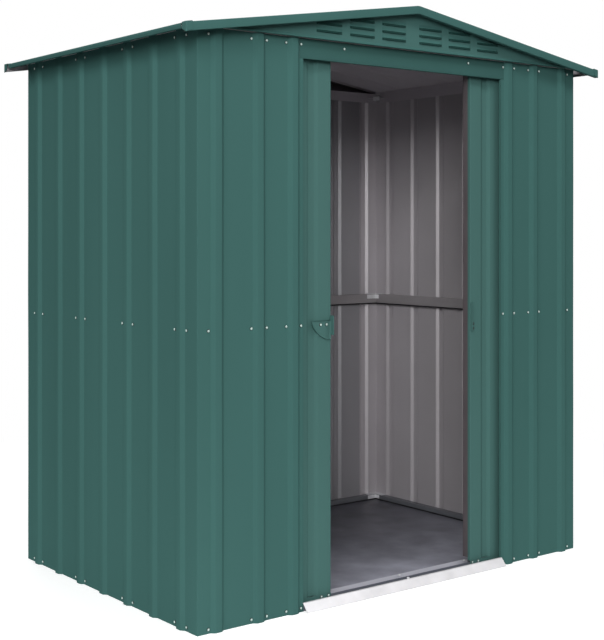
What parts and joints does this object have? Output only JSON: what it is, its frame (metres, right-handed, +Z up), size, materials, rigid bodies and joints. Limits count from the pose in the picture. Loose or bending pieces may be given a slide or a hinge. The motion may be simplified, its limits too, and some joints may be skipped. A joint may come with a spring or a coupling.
{
  "type": "storage shed",
  "caption": "Ribbed sheet metal storage shed with a low gable roof, louvred gables, sliding doors and a small entry ramp.",
  "frame": {"origin": "centre of the wall footprint on the ground, under the floor panel", "axes": "+Z up, the doorway faces -Y, +X to the right when facing the doorway's inside from the front"},
  "size_m": [1.9606, 1.3036, 2.0734],
  "materials": {
    "green_steel": "satin paint on ribbed sheet",
    "galvanised_steel": "dull galvanised",
    "inner_steel": "grey primer",
    "floor_steel": "dark grey paint",
    "plate_steel": "bright zinc",
    "glide_nylon": "black nylon"
  },
  "bodies": {
    "shed": {"corner_sheet_front_left": "green_steel", "corner_sheet_front_right": "green_steel", "corner_sheet_back_left": "green_steel", "corner_sheet_back_right": "green_steel", "left_wall_sheet_1": "green_steel", "left_wall_sheet_2": "green_steel", "left_wall_sheet_3": "green_steel", "right_wall_sheet_1": "green_steel", "right_wall_sheet_2": "green_steel", "right_wall_sheet_3": "green_steel", "back_wall_sheet_1": "green_steel", "back_wall_sheet_2": "green_steel", "back_wall_sheet_3": "green_steel", "base_rail_left": "galvanised_steel", "base_rail_right": "galvanised_steel", "base_rail_back": "galvanised_steel", "floor_panel": "floor_steel", "threshold_track": "galvanised_steel", "ramp": "galvanised_steel", "header": "green_steel", "door_head_rail": "galvanised_steel", "mid_rail_left": "galvanised_steel", "mid_rail_right": "galvanised_steel", "mid_rail_back": "galvanised_steel", "front_strap_left": "galvanised_steel", "front_strap_right": "galvanised_steel", "top_rail_left": "galvanised_steel", "top_rail_right": "galvanised_steel", "top_rail_back": "galvanised_steel", "corner_plates": "plate_steel", "front_gable": "green_steel", "back_gable": "green_steel", "roof_sheet_left": "green_steel", "roof_sheet_right": "green_steel", "ridge_cap": "green_steel", "front_verge_trim": "green_steel", "back_verge_trim": "green_steel", "eave_trim_left": "green_steel", "eave_trim_right": "green_steel", "roof_corner_caps": "green_steel"},
    "left_door": {"left_door_sheet": "green_steel", "left_door_stiles": "inner_steel", "left_door_top_rail": "galvanised_steel", "left_door_mid_rail": "galvanised_steel", "left_door_bottom_rail": "galvanised_steel", "left_door_runners": "glide_nylon", "left_door_pull": "green_steel"},
    "right_door": {"right_door_sheet": "green_steel", "right_door_stiles": "inner_steel", "right_door_top_rail": "galvanised_steel", "right_door_mid_rail": "galvanised_steel", "right_door_bottom_rail": "galvanised_steel", "right_door_runners": "glide_nylon", "right_door_pull": "green_steel"}
  },
  "joints": [
    {"name": "left_door_slide", "type": "slide", "parent": "shed", "child": "left_door", "axis": [1, 0, 0], "range_m": [0, 0.335]},
    {"name": "right_door_slide", "type": "slide", "parent": "shed", "child": "right_door", "axis": [-1, 0, 0], "range_m": [0, 0.335]}
  ]
}
